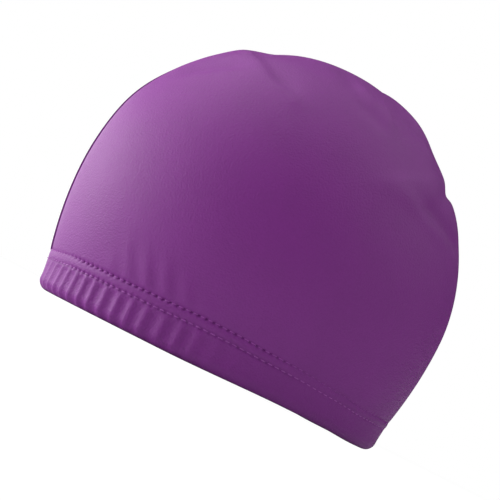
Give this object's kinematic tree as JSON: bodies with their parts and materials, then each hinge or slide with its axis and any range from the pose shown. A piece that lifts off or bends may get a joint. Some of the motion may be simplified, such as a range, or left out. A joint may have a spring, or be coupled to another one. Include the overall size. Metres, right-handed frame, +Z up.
{
  "type": "swim cap",
  "caption": "Adult swim cap of coated stretch cloth, with a centre seam from forehead to nape and a gathered elastic hem that curls in under the rim.",
  "frame": {"origin": "middle of the rim's footprint on the surface that the cap stands on", "axes": "+Z up, -Y the forehead, +Y the nape, +X the wearer's left ear"},
  "size_m": [0.1602, 0.205, 0.1698],
  "materials": {
    "crown_cloth": "satin coated knit",
    "hem_cloth": "satin coated knit, gathered on elastic"
  },
  "bodies": {
    "root": {"crown_left": "crown_cloth", "crown_right": "crown_cloth", "hem_band": "hem_cloth"}
  },
  "joints": []
}
